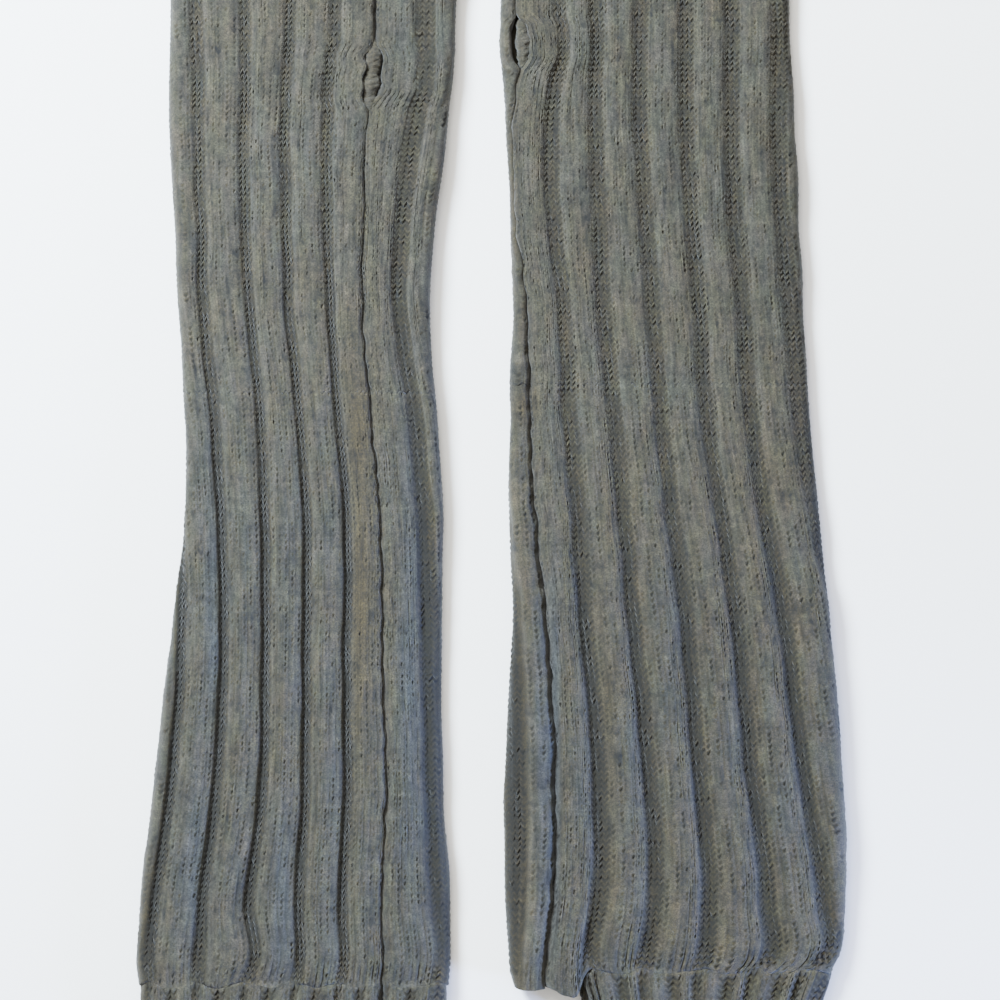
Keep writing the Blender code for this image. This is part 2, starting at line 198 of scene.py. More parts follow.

# Painted light and shade: where the yarn is drawn browner and darker as in warm shade, or bluer as
# in cool light if less than 0: middle, half width, half length, how much
PAINTED_LIGHT_CASTS = (
    (-38.1, 120.0, 5.0, 16.0, 0.9), (-42.9, 5.0, 5.0, 18.0, 0.9),
    (11.6, 10.0, 4.0, 7.0, 1.8), (12.5, 133.0, 8.0, 12.0, 0.7),
    (8.0, -116.0, 5.0, 60.0, 1.8), (36.5, -104.0, 4.5, 50.0, 1.0),
    (-41.5, -50.0, 5.0, 60.0, 1.4), (-110.5, -158.0, 4.5, 24.0, 1.2),
    (-78.0, -166.0, 3.5, 18.0, 0.9), (60.0, -125.0, 5.0, 60.0, 0.5),
    (-26.2, -75.0, 3.0, 70.0, -1.2), (-88.8, -50.0, 3.0, 50.0, -1.1),
    (-95.5, -138.0, 5.0, 30.0, -1.0), (-67.5, -150.0, 4.0, 26.0, -1.3),
    (15.3, -105.0, 3.0, 62.0, -1.3), (20.3, -105.0, 1.8, 62.0, -2.4),
    (31.0, -105.0, 4.0, 60.0, -0.5), (57.5, -65.0, 4.0, 40.0, -0.6),
)

# The curled edge in each thumb opening: its ends along the warmer, the middles of its width,
# its half width and half height, the height of its middle, and its seed
LEFT_ROLL = ((101.6, 127.5), (-38.6, -38.9, -38.2, -37.6, -37.3), 2.9, 2.6, 4.9, 5)
RIGHT_ROLL = ((117.4, 133.8), (10.0, 10.5, 10.6, 10.2, 9.7), 2.4, 2.0, 4.6, 6)
ROLL_ROWS = 101
ROLL_AROUND = 24

# How much of a section's corner lag each rib count takes, where the body puffs over the hem
NO_CORNER = ((0.0, 0.0), (1.0, 0.0))
RIGHT_CORNER = ((13.0, 0.66), (13.2, 0.80), (13.39, 0.95), (13.55, 1.05), (13.68, 0.95),
                (13.80, 0.60), (13.95, 0.15), (14.05, 0.0), (22.9, 0.0), (23.0, 0.85),
                (23.5, 0.95), (24.2, 0.7), (24.6, 0.55), (24.93, 0.28), (25.1, 0.45),
                (25.35, 0.72), (25.5, 0.74), (25.7, 0.66))

# For each warmer: the rib counts of its six grooves, where the seam ends, its thumb opening, its
# sections, how narrow its grooves are pressed, how much wider the one beside the seam is, how
# far the grooves sit aside and how deep the seam's crease is at places along it, and its corner
Warmer = namedtuple("Warmer", "name grooves seam_end eye_middle eye_half_length body hem_end "
                              "squeeze open_groove groove_shift crease corner hem_top "
                              "seam_shape seed")
LEFT = Warmer(
    "left", (9, 10, 11, 12, 13, 14), SEAM_AT + 13.0, 115.2, 9.9, LEFT_SECTIONS, LEFT_HEM_END,
    0.20, 0.45, ((-20.0, 0.01), (60.0, 0.05)),
    ((-175.0, 0.9), (0.0, 0.9), (60.0, 0.6), (100.0, 0.5), (128.0, 1.3), (186.0, 1.2)),
    NO_CORNER, LEFT_HEM_TOP, LEFT_SEAM_SHAPE, 11)
RIGHT = Warmer(
    "right", (13, 14, 15, 16, 17, 18), SEAM_AT + 12.7, 125.4, 8.6, RIGHT_SECTIONS, RIGHT_HEM_END,
    0.08, 0.10, ((-60.0, -0.125), (20.0, -0.03), (60.0, 0.0)),
    ((-172.0, 2.3), (-50.0, 2.1), (0.0, 1.2), (55.0, 0.8), (68.0, 0.4), (104.0, 0.4),
     (112.0, 0.7), (186.0, 0.7)),
    RIGHT_CORNER, RIGHT_HEM_TOP, RIGHT_SEAM_SHAPE, 23)

# The wool: its fibres, and the tints that their colour is multiplied by
DARK_FIBRE, PALE_FIBRE = (0.018, 0.0167, 0.0126, 1), (0.080, 0.0748, 0.0565, 1)
COOL_PATCH, WARM_PATCH = (0.95, 1.0, 1.03, 1), (1.05, 1.0, 0.90, 1)
COOL_STREAK, WARM_STREAK = (0.98, 0.99, 1.04, 1), (1.08, 1.0, 0.84, 1)
PINK_STREAK, GREEN_STREAK = (1.04, 0.98, 1.01, 1), (0.97, 1.03, 0.93, 1)
# Tints of painted warm shade and painted cool light, and of the shade painted into the hollows
WARM_SHADE_TINT, COOL_LIGHT_TINT = (1.14, 0.90, 0.46, 1), (0.66, 0.96, 1.66, 1)
PAINTED_SHADE_TINT = (1.16, 1.0, 0.52, 1)
PAINTED_SHADE_STEP = 0.42      # what is left of the colour for each step of painted shade

# How wide the cloth of a warmer's body is: the section whose girth it takes, and the longer way
# over the ribs
CUT_SECTION = 4
OVER_RIBS = 1.12


def column(values):
    return np.asarray(values)[:, None]


def smooth_between(places, values, wanted):
    """Values at the wanted places on a smooth curve through the given values."""
    slopes = np.gradient(values, places)
    index = np.clip(np.searchsorted(places, wanted) - 1, 0, len(places) - 2)
    span = places[index + 1] - places[index]
    t = np.clip((wanted - places[index]) / span, 0.0, 1.0)
    return (values[index] * (2 * t ** 3 - 3 * t ** 2 + 1)
            + slopes[index] * span * (t ** 3 - 2 * t ** 2 + t)
            + values[index + 1] * (3 * t ** 2 - 2 * t ** 3)
            + slopes[index + 1] * span * (t ** 3 - t ** 2))


def ease(value, start, end):
    """0 before the start, 1 after the end, and smooth between them."""
    t = np.clip((value - start) / (end - start), 0.0, 1.0)
    return t * t * (3 - 2 * t)


def profile(shape, phase):
    """Height of a rib profile at the given phases, with its corners rounded."""
    places, heights = np.array(shape).T
    spread = np.linspace(-CORNER_ROUNDING, CORNER_ROUNDING, 5)
    return np.mean([np.interp(phase + step, places, heights) for step in spread], axis=0)


def drift(seed, *axes):
    """A smooth random rise and fall, mostly between -1 and 1, over (places, wave length) pairs."""
    dice = np.random.default_rng(seed)
    total = 0.0
    for _ in range(DRIFT_WAVES):
        turns = sum(place / length * dice.uniform(0.6, 1.5) * dice.choice((-1, 1))
                    for place, length in axes)
        total = total + np.sin(2 * math.pi * (turns + dice.uniform()))
    return total / DRIFT_SPREAD


def arc_of(x, left, right):
    """Distance round the flattened tube of a point seen at x on its top layer."""
    straight_left, straight_right = left + FOLD_RADIUS, right - FOLD_RADIUS
    return (np.clip(x, straight_left, straight_right)
            + FOLD_RADIUS * np.arcsin(np.clip((x - straight_right) / FOLD_RADIUS, 0, 1))
            - FOLD_RADIUS * np.arcsin(np.clip((straight_left - x) / FOLD_RADIUS, 0, 1)))


def on_tube(arc, left, right, radius):
    """Place and outward direction at a distance round the flattened tube, at one radius."""
    start, straight = left + FOLD_RADIUS, right - left - 2 * FOLD_RADIUS
    turn = math.pi * FOLD_RADIUS
    arc = (arc - start) % (2 * straight + 2 * turn)
    angle = (np.clip((arc - straight) / FOLD_RADIUS, 0, math.pi)
             + np.clip((arc - 2 * straight - turn) / FOLD_RADIUS, 0, math.pi))
    x = start + np.minimum(arc, straight) - np.clip(arc - straight - turn, 0, straight)
    sine, cosine = np.sin(angle), np.cos(angle)
    return x + radius * sine, CENTRE_HEIGHT + radius * cosine, sine, cosine


def eye_opening(warmer, along):
    """How open the thumb opening is at a place along the warmer, from 0 to 1."""
    away = (along - warmer.eye_middle) / warmer.eye_half_length
    return np.maximum(0.0, 1.0 - away ** 4)


def girth(section):
    """Length of the way round the flattened tube."""
    return 2 * (section.right - section.left - 2 * FOLD_RADIUS) + 2 * math.pi * FOLD_RADIUS


def squeezed(warmer, section, counts):
    """Rib counts as the cloth lies: grooves pressed narrow, and moved a little to one side."""
    nearest = np.round(counts - GROOVE_MIDDLE)
    away = counts - GROOVE_MIDDLE - nearest
    pressed = warmer.squeeze + PRESSED_BY * ease(section.rib, *PRESSED_RIB)
    narrow = GROOVE_HALF * (column(pressed) - warmer.open_groove * (nearest == SEAM_AT + 1))
    shift = np.interp(np.abs(away), (0, GROOVE_HALF, 0.5), (0, 1, 0)) * -np.sign(away) * narrow
    aside = np.interp(column(section.along), *zip(*warmer.groove_shift))
    shift = shift + aside * np.interp(np.abs(away), (0, GROOVE_HALF, 0.5), (1, 1, 0))
    shift = shift * np.clip((warmer.seam_end - counts) / SHIFT_ENDS, 0, 1)
    return counts + np.where(nearest <= SEAM_AT, 0.0, shift)


def arcs_at(warmer, section, counts):
    """Distances round the tube of the rib counts, and how far they are from both seam edges."""
    counts = squeezed(warmer, section, counts)
    round_it = girth(section)
    known = {count: arc_of(x, section.left, section.right)
             for count, x in zip(warmer.grooves, section[2:8])}
    seam = known[SEAM_AT]
    known = {count if count >= SEAM_AT else count + REPEATS: arc + (count < SEAM_AT) * round_it
             for count, arc in known.items()}
    known[warmer.seam_end] = seam + round_it
    places = np.array(sorted(known))
    arcs = np.stack([known[place] for place in places], -1)
    index = np.clip(np.searchsorted(places, counts, side="right") - 1, 0, len(places) - 2)
    share = (counts - places[index]) / (places[index + 1] - places[index])
    arc = ((1 - share) * np.take_along_axis(arcs, index, 1)
           + share * np.take_along_axis(arcs, index + 1, 1))
    after, before = arc - seam[:, None], (seam + round_it)[:, None] - arc
    opened = column(eye_opening(warmer, section.along))
    along = column(section.along)
    wavy_right, wavy_left = (1 + EYE_WAVER * drift(warmer.seed + turn, (along, EYE_WAVE))
                             for turn in (7, 8))
    arc = (arc + (SEAM_GAP / 2 + EYE_HALF_WIDTH * opened * wavy_right) * np.exp(-after / EYE_REACH)
           - (SEAM_GAP / 2 + EYE_HALF_WIDTH * opened * wavy_left) * np.exp(-before / EYE_REACH))
    return arc, after, before


def surface(warmer, section, counts, rise, slide=0.0):
    """Outer points of the tube with the given rise over its smooth core, and the inner ones."""
    arc, _, _ = arcs_at(warmer, section, counts)
    left, right = column(section.left), column(section.right)
    x, z, outward_x, outward_z = on_tube(arc + slide, left, right, FOLD_RADIUS)
    on_top = (1 + outward_z) / 2
    across = (x - left) / (right - left)
    lift = on_top * column(section.crown) * (1 - np.abs(2 * across - 1) ** 3)
    y = column(section.along) - column(section.corner) * np.interp(counts, *zip(*warmer.corner))
    outer = (x + rise * outward_x, y, np.maximum(0.0, z + rise * outward_z + lift))
    x, z, _, _ = on_tube(arc, left, right, FOLD_RADIUS - WALL)
    return np.stack(outer, -1), np.stack((x, y, z + lift), -1)


def on_top_of(warmer, section, counts):
    """1 on the top layer, 0 underneath, and between them round the folds."""
    arc, _, _ = arcs_at(warmer, section, counts)
    cosine = on_tube(arc, column(section.left), column(section.right), FOLD_RADIUS)[3]
    return (1 + cosine) / 2


def rib_rise(warmer, section, counts, share):
    """Height of the ribs: taller on the top layer than underneath, where they are pressed."""
    on_top = on_top_of(warmer, section, counts)
    return share * (on_top * column(section.rib) + (1 - on_top) * UNDER_RIB * UNDER_FLATTENING)


def fitted(warmer, section, counts, share):
    """Sections drawn in until the outermost points, ribs and all, are where they should be."""
    wanted = section
    for _ in range(FITTING_ROUNDS):
        xs = surface(warmer, section, counts, rib_rise(warmer, section, counts, share))[0][..., 0]
        section = section._replace(left=section.left + wanted.left - xs.min(1),
                                   right=section.right + wanted.right - xs.max(1))
    return section


def row_length(along):
    return LOW_ROW + (HIGH_ROW - LOW_ROW) * ease(along, *ROW_CHANGE)


def rows_between(start, end):
    """Places along a warmer of its mesh rows, a whole number of stitches from start to end."""
    fine = np.linspace(start, end, FINE_STEPS)
    rows = np.concatenate(([0.0], np.cumsum(np.diff(fine) / row_length(fine[1:]))))
    stitches = round(rows[-1])
    return np.interp(np.linspace(0, rows[-1], stitches * ROW_STEPS + 1), rows, fine)


Pattern = namedtuple("Pattern", "share low_share plain")


def body_pattern(warmer, counts):
    """Rib height and plain stitches of the wide ribs."""
    repeat = np.floor(counts - SEAM_AT + 1e-9)
    phase = counts - SEAM_AT - repeat
    share = np.select((repeat == 0, repeat >= REPEATS - 1),
                      (profile(SEAM_RIGHT_SHAPE, phase), profile(warmer.seam_shape, phase)),
                      profile(RIB_SHAPE, phase))
    share[repeat >= REPEATS] = warmer.seam_shape[-1][1]
    away_from_seam = (((repeat > 0) | (phase > LOW_FROM))
                      & ((repeat < REPEATS - 1) | (phase < LOW_UNTIL)))
    low_share = np.where(away_from_seam, profile(LOW_RIB_SHAPE, phase), share)
    from_groove = np.abs((phase - GROOVE_MIDDLE + 0.5) % 1.0 - 0.5)
    by_seam = ((repeat == 0) & (phase < 0.5)) | ((repeat >= REPEATS - 1) & (phase > 0.5))
    plain = (from_groove > GROOVE_HALF - 1e-6) | by_seam | (repeat >= REPEATS)
    return Pattern(share, low_share, plain)


def hem_pattern(counts):
    """Rib height and plain stitches of the narrow ribs, two plain and two purl."""
    phase = ((counts - SEAM_AT) * HEM_RIBS_PER_REPEAT + 1e-9) % 1.0
    share = profile(HEM_SHAPE, phase)
    return Pattern(share, share, (phase > HEM_PLAIN[0]) & (phase < HEM_PLAIN[1]))


def runs(dice, shape, tall, wide):
    """Random numbers that stay alike for so many stitches up and so many mesh columns across."""
    stitches = shape[0] // ROW_STEPS + 1
    grid = dice.normal(0.0, 1.0, (stitches + tall, shape[1] // wide + 1))
    grid = sum(grid[start:start + stitches] for start in range(tall)) / tall ** 0.5
    return grid[np.arange(shape[0]) // ROW_STEPS][:, np.arange(shape[1]) // wide]


def rolling(seed, along, across, waves):
    """A drift with one wave length along the warmer and another across it."""
    return drift(seed, (along, waves[0]), (across, waves[1]))


def stitch_heights(dice, shape, pattern):
    """Height of the yarn, depth of the pits in it, and how unevenly each stitch lies."""
    within = np.arange(shape[1]) % WALE_STEPS
    leg = np.array(LEG_HEIGHTS)[within]
    crest = column((np.arange(shape[0]) % ROW_STEPS > 0).astype(float))
    uneven = runs(dice, shape, 1, WALE_STEPS)
    tight = np.clip(0.5 + 0.5 * runs(dice, shape, 7, WALE_STEPS), 0, 1.1)
    open_stitch = np.clip(0.4 + 0.7 * runs(dice, shape, 3, WALE_STEPS) + 0.4 * uneven, 0, 1.8)
    plain_height = (leg + 0.6 * tight * (within == 0)) * (0.72 + 0.28 * crest)
    purl_height = crest * (0.84 + 0.16 * leg) + (1 - crest) * 0.12 * leg
    height = np.where(pattern.plain, plain_height, purl_height)
    height = np.clip(height + dice.normal(0.0, HEIGHT_JITTER, shape), 0.0, 1.15)
    height[0], height[-1] = height[1], height[-2]
    pits = (open_stitch * (1 - crest) * (within == WALE_STEPS // 2)
            * np.where(pattern.plain, PLAIN_PIT, PURL_PIT))
    return height, pits, uneven


def seam_crease(warmer, section, edge, seed):
    """Rise of the cloth at its distances from the seam's edges, and the shade painted into its
    crease and along its edges.
    """
    along, opened = column(section.along), column(eye_opening(warmer, section.along))
    crease = np.interp(along, *zip(*warmer.crease)) * (1 - opened)
    crisp = np.maximum(opened, 0.2 + 0.8 * ease(crease, 0.5, 1.1))
    near = np.exp(-(edge / np.interp(crease, *zip(*SEAM_VALLEY))) ** 2)
    rim = crisp * np.exp(-edge / EDGE_RADIUS)
    pucker = (PUCKER * drift(seed, (along, PUCKER_WAVE)) * crisp * (1 - opened)
              * np.exp(-(edge / PUCKER_REACH) ** 2))
    lip = EYE_LIP * opened * np.exp(-(edge / LIP_REACH) ** 2)
    # Shade painted into the colour along the crease and at the seam's edges
    dark = SEAM_SHADE * np.minimum(crease + 0.2, 1.0) * near ** 0.6 + EDGE_SHADE * rim
    return pucker - SEAM_DEPTH * crease * near + lip - EDGE_DROP * rim, dark


def knit(warmer, section, counts, rows, pattern, share, seed, open_ends):
    """Outer and inner points, painted shade and yarn tone of a tube with all its stitches."""
    dice = np.random.default_rng(seed)
    shape = (len(rows), len(counts))
    height, pits, uneven = stitch_heights(dice, shape, pattern)
    calm = np.clip(column(np.minimum(*open_ends)) * ROW_STEPS, 0, 1)
    pits = pits * calm
    relief = np.where(pattern.plain, PLAIN_RELIEF, PURL_RELIEF) * (1 + 0.2 * uneven)
    relief = relief * (JOIN_RELIEF + (1 - JOIN_RELIEF) * calm)

    along, across = column(section.along), counts[None, :] * RIB_PITCH
    phase = (counts - SEAM_AT) % 1.0
    on_top = on_top_of(warmer, section, counts)
    tall_rib = column(ease(section.rib, *TALL_RIB))
    shape_share = pattern.low_share + (pattern.share - pattern.low_share) * tall_rib
    evened = EVEN_SHARE + (shape_share - EVEN_SHARE) * column(share)
    ribs = rib_rise(warmer, section, counts, evened)
    ribs = ribs * (1 + RIB_SWELL * calm * rolling(seed + 1, along, across, SWELL_WAVES))
    loose = LOOSENESS * on_top * rolling(seed + 3, along, across, LOOSE_WAVES) * calm
    puff = (PUFF * on_top * np.interp(counts, *zip(*warmer.corner))
            * column(np.clip(section.corner / FULL_LAG, 0, 1)) ** 0.7)
    _, after, before = arcs_at(warmer, section, counts)
    edge = np.minimum(after, before)
    seam_rise, seam_painted_shade = seam_crease(warmer, section, edge, seed + 2)
    rise = ribs + relief * (height - 0.5 - 0.5 * pits) + seam_rise + loose + puff

    lean = ease(phase, 0.45, 0.86) * (1 - ease(phase, 0.88, 0.96))
    waver = SEAM_WAVER * drift(seed + 5, (along, WAVER_WAVE)) * np.exp(-edge / WAVER_REACH)
    slide = (LEAN * ribs * lean * on_top
             + WANDER * rolling(seed + 4, along, across, WANDER_WAVES) * calm + waver * calm
             + dice.normal(0.0, SIDE_JITTER, shape) * calm)
    outer, inner = surface(warmer, section, counts, rise, slide)
    slant = (np.where(pattern.plain, PLAIN_SLANT, PURL_SLANT)
             * np.cos(2 * math.pi * np.arange(len(counts)) / WALE_STEPS))
    outer[..., 1] += (slant * row_length(along) + dice.normal(0.0, ROW_JITTER, shape)) * calm
    gather = (GATHER * (profile(RIB_SHAPE, phase) - 0.5)
              + GATHER_DRIFT * drift(warmer.seed + 9, (counts, GATHER_WAVE)))
    outer[..., 1] -= gather * np.exp(-column(open_ends[0]) / GATHER_REACH)

    # Shade painted into the colour: in the holes between the stitches, in purl stitches, along the
    # seam, in the grooves, as a painted shadow at the foot of each tall rib's right side, and on
    # the left flank of tall ribs
    hollow = 1 - np.clip(shape_share * HOLLOW_SHARE, 0, 1)
    clear = edge > CLEAR_OF_SEAM
    rib_foot_shadow = np.exp(-(((phase + 0.5) % 1.0 - 0.5) / CREVICE_HALF) ** 2) * clear
    hole_shade = np.where(pattern.plain, PLAIN_SHADE, PURL_SHADE + PURL_SHADE_UNEVEN * uneven)
    painted_shade = ((1 - height) * hole_shade + pits + PURL_BASE_SHADE * ~pattern.plain + seam_painted_shade
             + hollow * (GROOVE_SHADE + TALL_GROOVE_SHADE * tall_rib)
             + CREVICE_SHADE * rib_foot_shadow * tall_rib
             + FLANK_SHADE * tall_rib * (1 - ease(phase, 0.1, 0.65)) * clear)
    tone = 0.6 * uneven + 0.4 * runs(dice, shape, 1, 10) + 0.9 * runs(dice, shape, 5, 2)
    return outer, inner, painted_shade, tone


def zip_edges(first, second, first_places, second_places):
    """Triangles that close the strip between two edges with different numbers of points."""
    faces, i, j = [], 0, 0
    while i < len(first) - 1 or j < len(second) - 1:
        ended = j == len(second) - 1
        if ended or (i < len(first) - 1 and first_places[i + 1] <= second_places[j + 1]):
            faces.append((first[i], first[i + 1], second[j]))
            i += 1
        else:
            faces.append((first[i], second[j + 1], second[j]))
            j += 1
    return faces


def every(length):
    """Indexes of the mesh lines that the inside keeps, the last one always."""
    kept = list(range(0, length - INSIDE_EVERY // 2, INSIDE_EVERY))
    return np.array(kept + [length - 1])


def painted_light_at(points):
    """How much painted warm shade browns the yarn at each point, or painted cool light blues it,
    along the seams, ribs and edges.
    """
    return sum(amount * np.exp(-((points[:, 0] - x) / wide) ** 2 - ((points[:, 1] - y) / tall) ** 2)
               for x, y, wide, tall, amount in PAINTED_LIGHT_CASTS) * (points[:, 2] > CENTRE_HEIGHT)


def cloth_piece(name, points, faces, places, painted_shade, tone, rounded_faces=None):
    """A piece of knit with its stitch places as a UV map, its painted shade, its tone, and its
    painted warm shade and cool light.
    """
    mesh = bpy.data.meshes.new(name)
    mesh.from_pydata((points * TO_METRES).tolist(), [], faces)
    mesh.polygons.foreach_set("use_smooth", np.arange(len(faces)) < (rounded_faces or len(faces)))
    mesh.set_sharp_from_angle(angle=math.radians(SHARP_ANGLE))
    corners = np.zeros(len(mesh.loops), np.int32)
    mesh.loops.foreach_get("vertex_index", corners)
    stitches = mesh.uv_layers.new(name="stitches")
    stitches.uv.foreach_set("vector", places[corners].astype(np.float32).ravel())
    for label, values in (("painted_shade", painted_shade), ("tone", tone), ("painted_light", painted_light_at(points))):
        mesh.attributes.new(label, "FLOAT", "POINT").data.foreach_set(
            "value", values.astype(np.float32))
    piece = bpy.data.objects.new(name, mesh)
    bpy.context.scene.collection.objects.link(piece)
    return piece


def wall_mesh(name, outer, inner, rows, painted_shade, tone):
    """A closed wall of cloth: all the stitches outside, a plainer inside, and its four edges."""
    tall, wide = outer.shape[:2]
    kept_rows, kept_columns = every(tall), every(wide)
    inside = inner[kept_rows][:, kept_columns]
    outer_ids = np.arange(tall * wide).reshape(tall, wide)
    inner_ids = tall * wide + np.arange(inside[..., 0].size).reshape(inside.shape[:2])
    faces = np.stack((outer_ids[:-1, :-1], outer_ids[:-1, 1:], outer_ids[1:, 1:],
                      outer_ids[1:, :-1]), -1).reshape(-1, 4).tolist()
    faces += np.stack((inner_ids[:-1, :-1], inner_ids[1:, :-1], inner_ids[1:, 1:],
                       inner_ids[:-1, 1:]), -1).reshape(-1, 4).tolist()
    ups, acrosses = np.arange(tall), np.arange(wide)
    faces += zip_edges(outer_ids[:, 0], inner_ids[:, 0], ups, kept_rows)
    faces += zip_edges(inner_ids[:, -1], outer_ids[:, -1], kept_rows, ups)
    rounded_faces = len(faces)
    faces += zip_edges(inner_ids[0], outer_ids[0], kept_columns, acrosses)
    faces += zip_edges(outer_ids[-1], inner_ids[-1], acrosses, kept_columns)

    points = np.concatenate((outer.reshape(-1, 3), inside.reshape(-1, 3)))
    places = np.stack(np.broadcast_arrays(acrosses[None, :] / WALE_STEPS, rows[:, None]), -1)
    places = np.concatenate((places.reshape(-1, 2),
                             places[kept_rows][:, kept_columns].reshape(-1, 2)))
    # The inside is painted in even shade
    hidden = np.ones(inside[..., 0].size)
    return cloth_piece(name, points, faces, places,
                       np.concatenate((painted_shade.ravel(), INSIDE_SHADE * hidden)),
                       np.concatenate((tone.ravel(), 0 * hidden)), rounded_faces)


def thumb_roll(name, ends, middles, wide_radius, tall_radius, height, seed):
    """The edge of the cloth that has curled up inside a thumb opening."""
    dice = np.random.default_rng(seed)
    along = np.linspace(*ends, ROLL_ROWS)
    middle = smooth_between(np.linspace(*ends, len(middles)), np.array(middles), along)
    full = np.clip(1 - np.abs(np.linspace(-0.999, 0.999, ROLL_ROWS)) ** 3, 0.003, 1) ** 0.5
    turn = np.linspace(0, 2 * math.pi, ROLL_AROUND + 1)
    from_top = np.minimum(turn, 2 * math.pi - turn)
    # Eight ribs run along it, and uneven turns of yarn wind round it
    bumps = (0.08 * np.cos(8 * turn)[None, :]
             + 0.05 * np.cos(3.5 * (column(along) + 0.5 * np.sin(3 * turn)))
             + 0.07 * drift(seed + 1, (column(along), 3.0), (from_top, 2.0)))
    swell = 1 + 0.16 * drift(seed, (column(along), 8.0)) + 0.7 * bumps * column(full)
    swell = swell + dice.normal(0.0, 0.03, bumps.shape)
    swell[:, -1] = swell[:, 0]
    x = column(middle) - wide_radius * column(full) * np.sin(turn) * swell
    z = height + tall_radius * column(full) * np.cos(turn) * swell
    outer = np.stack((x, np.broadcast_to(column(along), x.shape), z), -1)[:, ::-1]
    ids = np.arange(ROLL_ROWS * ROLL_AROUND).reshape(ROLL_ROWS, ROLL_AROUND)
    nxt = np.roll(ids, -1, 1)
    faces = np.stack((ids[:-1], nxt[:-1], nxt[1:], ids[1:]), -1).reshape(-1, 4).tolist()
    faces += [ids[0, ::-1].tolist(), ids[-1].tolist()]
    # Shade is painted darker low on the roll and in the hollows between its bumps
    low = np.clip((height + 0.7 * tall_radius - z[:, ::-1]) / 2.5, 0, 1)
    painted_shade = 0.45 + 1.1 * low - 2.0 * bumps[:, ::-1]
    stitches = np.stack(np.broadcast_arrays(turn * 8 / math.pi, column(along / 1.8)), -1)
    return cloth_piece(name, outer[:, :-1].reshape(-1, 3), faces,
                       stitches[:, :-1].reshape(-1, 2), painted_shade[:, :-1].ravel(),
                       dice.normal(0.0, 1.0, painted_shade[:, :-1].size))


def hem_sections(warmer, along):
    """The hem's sections, from the body's base to the hem's end."""
    places = (warmer.hem_end[0], warmer.hem_top[0])
    return Section(along, *(np.interp(along, places, pair)
                            for pair in zip(warmer.hem_end[1:], warmer.hem_top[1:])))


def mesh_counts(warmer):
    steps = round((warmer.seam_end - SEAM_AT) * WALES) * WALE_STEPS
    return np.linspace(SEAM_AT, warmer.seam_end, steps + 1)


def knit_body(warmer):
    """The wide-ribbed panel of one warmer, in two pieces: over the hand and up the arm."""
    counts = mesh_counts(warmer)
    along = rows_between(warmer.body.along[0], warmer.body.along[-1])
    section = Section(along, *(smooth_between(warmer.body.along, values, along)
                               for values in warmer.body[1:]))
    pattern = body_pattern(warmer, counts)
    section = fitted(warmer, section, counts, pattern.share)
    rows = np.arange(len(along)) / ROW_STEPS
    from_end = rows[-1] - rows
    share = ease(rows, *BODY_RIBS_GROW) * ease(from_end, *RIBS_SINK)
    outer, inner, painted_shade, tone = knit(warmer, section, counts, rows, pattern, share,
                                     warmer.seed, (rows, from_end))
    cut = len(along) // (2 * ROW_STEPS) * ROW_STEPS
    made = []
    for part, these in (("arm", slice(0, cut + 1)), ("hand", slice(cut, None))):
        piece = wall_mesh(f"{warmer.name}_{part}_knit", outer[these], inner[these], rows[these],
                          painted_shade[these], tone[these])
        made.append((piece, along[these][-1] - along[these][0]))
    return made


def knit_hem(warmer):
    """The narrow-ribbed hem of one warmer."""
    counts = mesh_counts(warmer)
    along = rows_between(warmer.hem_end[0], warmer.body.along[0])
    section = hem_sections(warmer, along)
    pattern = hem_pattern(counts)
    section = fitted(warmer, section, counts, pattern.share)
    rows = np.arange(len(along)) / ROW_STEPS - (len(along) - 1) / ROW_STEPS
    share = ease(rows - rows[0], *RIBS_SINK) * ease(-rows, *HEM_RIBS_GROW)
    outer, inner, painted_shade, tone = knit(warmer, section, counts, rows, pattern, share,
                                     warmer.seed + 50, (-rows, rows - rows[0]))
    piece = wall_mesh(f"{warmer.name}_hem_knit", outer, inner, rows, painted_shade, tone)
    return piece, along[-1] - along[0]


class Wire:
    """A number in a material that can stand in a sum or a product."""

    def __init__(self, paint, socket):
        self.paint, self.socket = paint, socket

    def __add__(self, other):
        return self.paint.maths("ADD", self, other)

    def __rsub__(self, other):
        return self.paint.maths("SUBTRACT", other, self)

    def __mul__(self, other):
        return self.paint.maths("MULTIPLY", self, other)

    __radd__, __rmul__ = __add__, __mul__


class Paint:
    """A material's nodes."""

    def __init__(self, name):
        self.material = bpy.data.materials.new(name)
        self.material.use_nodes = True
        self.tree = self.material.node_tree
        self.shader = self.tree.nodes["Principled BSDF"]

    def node(self, kind, settings, inputs, output=0):
        """A node with its settings, its inputs by name or number, and one of its outputs."""
        made = self.tree.nodes.new(kind)
        for label, value in settings.items():
            setattr(made, label, value)
        for label, value in inputs.items():
            self.feed(made.inputs[label], value)
        return Wire(self, made.outputs[output])

    def feed(self, socket, value):
        if isinstance(value, Wire):
            self.tree.links.new(value.socket, socket)
        else:
            socket.default_value = value

    def maths(self, operation, first, second):
        return self.node("ShaderNodeMath", {"operation": operation}, {0: first, 1: second})

    def attribute(self, label):
        return self.node("ShaderNodeAttribute", {"attribute_name": label}, {}, "Fac")

    def between(self, value, low, high):
        """0 up to low, 1 from high on."""
        return self.node("ShaderNodeMapRange", {"clamp": True},
                         {"Value": value, "From Min": low, "From Max": high})

    def mixed(self, share, first, second, blend="MIX"):
        return self.node("ShaderNodeMix", {"data_type": "RGBA", "blend_type": blend},
                         {0: share, 6: first, 7: second}, 2)

    def multiplied(self, first, second):
        return self.mixed(1.0, first, second, "MULTIPLY")

    def noise(self, place, scale, detail=2.0, roughness=0.5):
        return self.node("ShaderNodeTexNoise", {},
                         {"Vector": place, "Scale": scale, "Detail": detail,
                          "Roughness": roughness}, "Fac")

    def stretched(self, place, across, along):
        return self.node("ShaderNodeMapping", {}, {"Vector": place, "Scale": (across, along, 1.0)})


